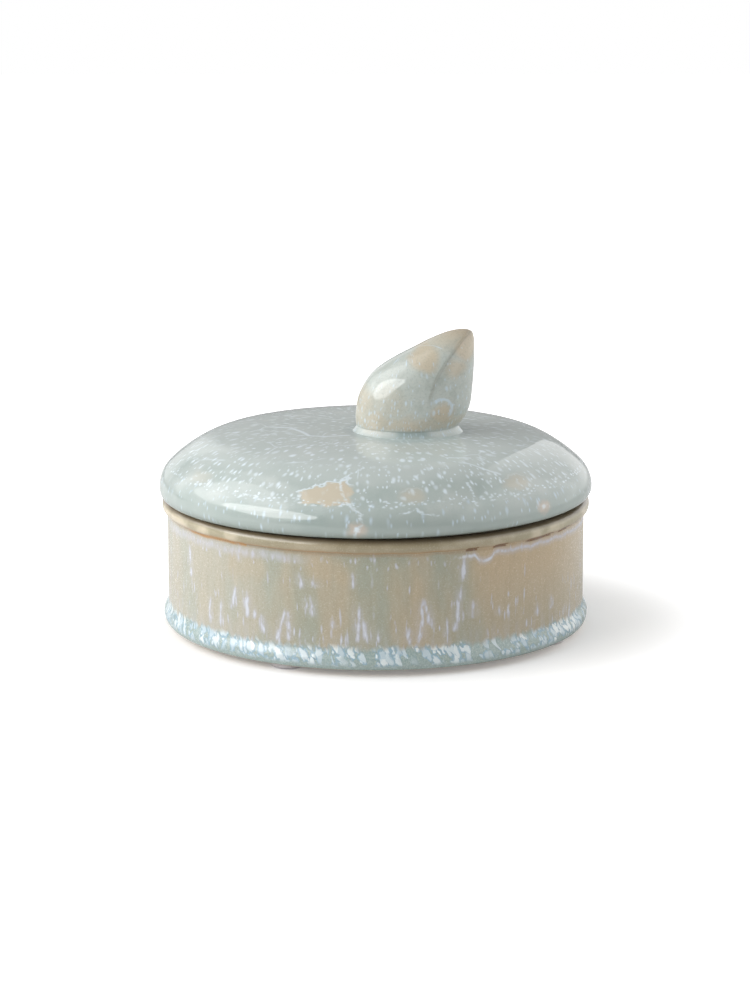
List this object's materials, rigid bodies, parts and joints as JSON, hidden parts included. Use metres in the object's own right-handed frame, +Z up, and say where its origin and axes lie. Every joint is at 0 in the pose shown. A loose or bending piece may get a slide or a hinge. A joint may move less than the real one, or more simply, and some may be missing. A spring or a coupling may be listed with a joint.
{
  "type": "lidded pottery jar",
  "caption": "Low round glazed stoneware jar on clear stick-on pads, with a domed lift-off lid that locates inside the rim and a pointed bud for its knob.",
  "frame": {"origin": "centre of the jar on the surface that the pads stand on", "axes": "+Z up along the axis that the jar is turned about, -Y to the front, +X to the side that the bud leans to"},
  "size_m": [0.145, 0.145, 0.1007],
  "materials": {
    "jar_glaze": "tan reactive glaze with pale runs, glossy",
    "lid_glaze": "pale grey-green speckled glaze, high gloss",
    "knob_glaze": "grey-green and tan speckled glaze, high gloss",
    "pad_silicone": "clear silicone, satin"
  },
  "bodies": {
    "jar": {"jar_body": "jar_glaze", "foot_pad_1": "pad_silicone", "foot_pad_2": "pad_silicone", "foot_pad_3": "pad_silicone", "foot_pad_4": "pad_silicone"},
    "cover": {"lid": "lid_glaze", "lid_knob": "knob_glaze"}
  },
  "joints": [
    {"name": "lid_lift", "type": "slide", "parent": "jar", "child": "cover", "axis": [0, 0, 1], "range_m": [0, 0.08]}
  ]
}
